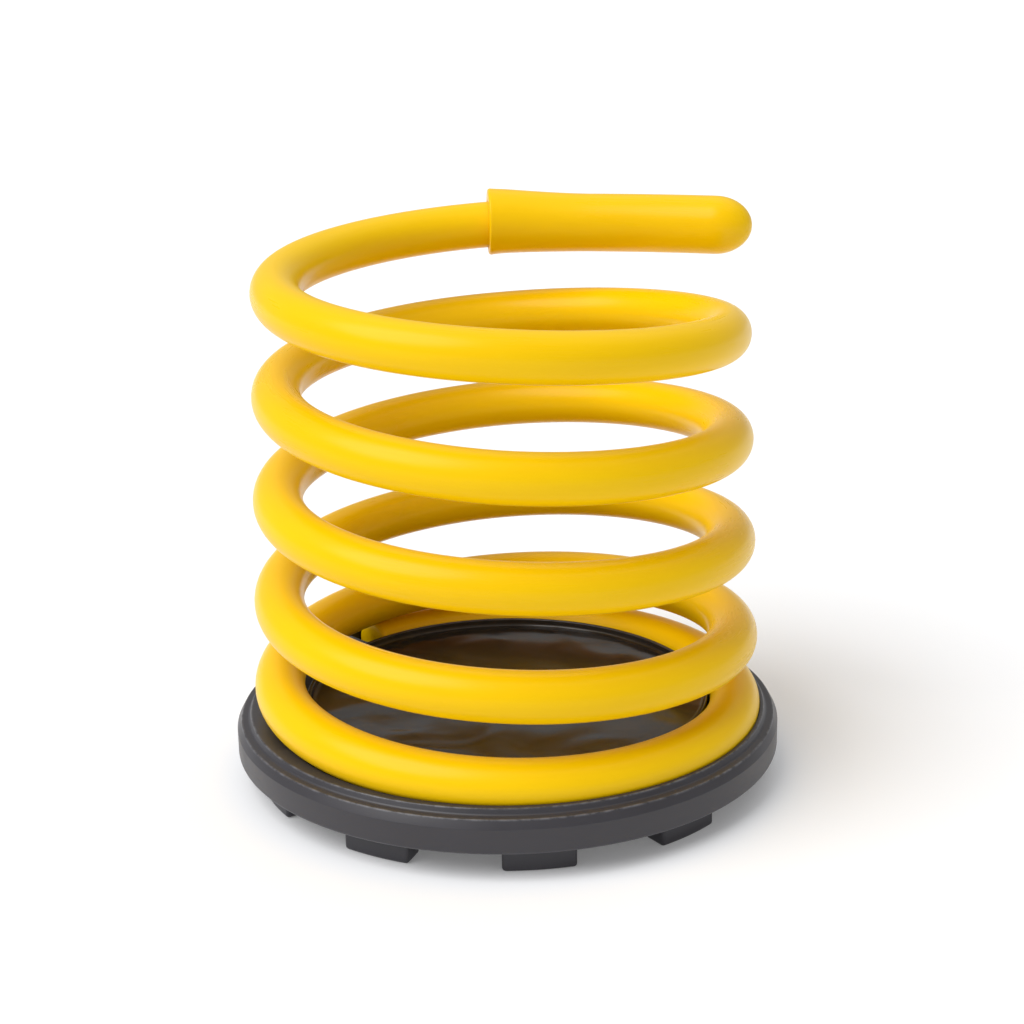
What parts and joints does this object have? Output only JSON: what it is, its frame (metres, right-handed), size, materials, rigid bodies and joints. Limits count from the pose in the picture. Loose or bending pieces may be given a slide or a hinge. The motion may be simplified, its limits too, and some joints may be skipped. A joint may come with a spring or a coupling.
{
  "type": "springboard coil spring",
  "caption": "Left-hand steel coil in a yellow plastic jacket with a domed end sleeve, seated in a round grey base with lugs; compresses under load.",
  "frame": {"origin": "centre of the base at the level of the undersides of its lugs", "axes": "+Z along the coil, upwards. +Y towards the rear, where the domed sleeve begins. +X towards the sleeve's domed end"},
  "size_m": [0.1474, 0.1474, 0.1486],
  "materials": {
    "yellow_jacket": "satin gloss",
    "spring_steel": "drawn",
    "base_plastic": "satin",
    "dish_plastic": "gloss",
    "zinc_steel": "zinc plated"
  },
  "bodies": {
    "base": {"base_ring": "base_plastic", "dish": "dish_plastic", "screw_1": "zinc_steel", "screw_2": "zinc_steel", "screw_3": "zinc_steel", "screw_4": "zinc_steel", "screw_5": "zinc_steel", "screw_6": "zinc_steel", "jacket_seat": "yellow_jacket", "core_seat": "spring_steel", "tail_cap": "yellow_jacket"},
    "coil_1": {"jacket_1": "yellow_jacket", "core_1": "spring_steel"},
    "coil_2": {"jacket_2": "yellow_jacket", "core_2": "spring_steel"},
    "coil_3": {"jacket_3": "yellow_jacket", "core_3": "spring_steel"},
    "coil_4": {"jacket_4": "yellow_jacket", "core_4": "spring_steel"},
    "coil_5": {"jacket_5": "yellow_jacket", "core_5": "spring_steel"},
    "coil_6": {"jacket_6": "yellow_jacket", "core_6": "spring_steel"},
    "coil_7": {"jacket_7": "yellow_jacket", "core_7": "spring_steel"},
    "coil_8": {"jacket_8": "yellow_jacket", "core_8": "spring_steel", "sleeve": "yellow_jacket"}
  },
  "joints": [
    {"name": "coil_flex_1", "type": "hinge", "parent": "base", "child": "coil_1", "pos_m": [0.06112, 0, 0.03764], "axis": [0, -1, 0], "range_deg": [0, 2.8], "stiffness_Nm_per_rad": 280},
    {"name": "coil_flex_2", "type": "hinge", "parent": "coil_1", "child": "coil_2", "pos_m": [-0.06066, 0, 0.05041], "axis": [0, -1, 0], "range_deg": [-5.6, 0], "stiffness_Nm_per_rad": 280},
    {"name": "coil_flex_3", "type": "hinge", "parent": "coil_2", "child": "coil_3", "pos_m": [0.06019, 0, 0.06434], "axis": [0, -1, 0], "range_deg": [0, 5.6], "stiffness_Nm_per_rad": 280},
    {"name": "coil_flex_4", "type": "hinge", "parent": "coil_3", "child": "coil_4", "pos_m": [-0.05971, 0, 0.07828], "axis": [0, -1, 0], "range_deg": [-5.6, 0], "stiffness_Nm_per_rad": 280},
    {"name": "coil_flex_5", "type": "hinge", "parent": "coil_4", "child": "coil_5", "pos_m": [0.05924, 0, 0.09221], "axis": [0, -1, 0], "range_deg": [0, 5.6], "stiffness_Nm_per_rad": 280},
    {"name": "coil_flex_6", "type": "hinge", "parent": "coil_5", "child": "coil_6", "pos_m": [-0.05878, 0, 0.10615], "axis": [0, -1, 0], "range_deg": [-5.6, 0], "stiffness_Nm_per_rad": 280},
    {"name": "coil_flex_7", "type": "hinge", "parent": "coil_6", "child": "coil_7", "pos_m": [0.05831, 0, 0.12008], "axis": [0, -1, 0], "range_deg": [0, 5.6], "stiffness_Nm_per_rad": 280},
    {"name": "coil_flex_8", "type": "hinge", "parent": "coil_7", "child": "coil_8", "pos_m": [-0.05783, 0, 0.13324], "axis": [0, -1, 0], "range_deg": [-2.8, 0], "stiffness_Nm_per_rad": 280}
  ],
  "couplings": [
    {"joint": "coil_flex_2", "follows": "coil_flex_1", "ratio": -2},
    {"joint": "coil_flex_3", "follows": "coil_flex_1", "ratio": 2},
    {"joint": "coil_flex_4", "follows": "coil_flex_1", "ratio": -2},
    {"joint": "coil_flex_5", "follows": "coil_flex_1", "ratio": 2},
    {"joint": "coil_flex_6", "follows": "coil_flex_1", "ratio": -2},
    {"joint": "coil_flex_7", "follows": "coil_flex_1", "ratio": 2},
    {"joint": "coil_flex_8", "follows": "coil_flex_1", "ratio": -1}
  ]
}
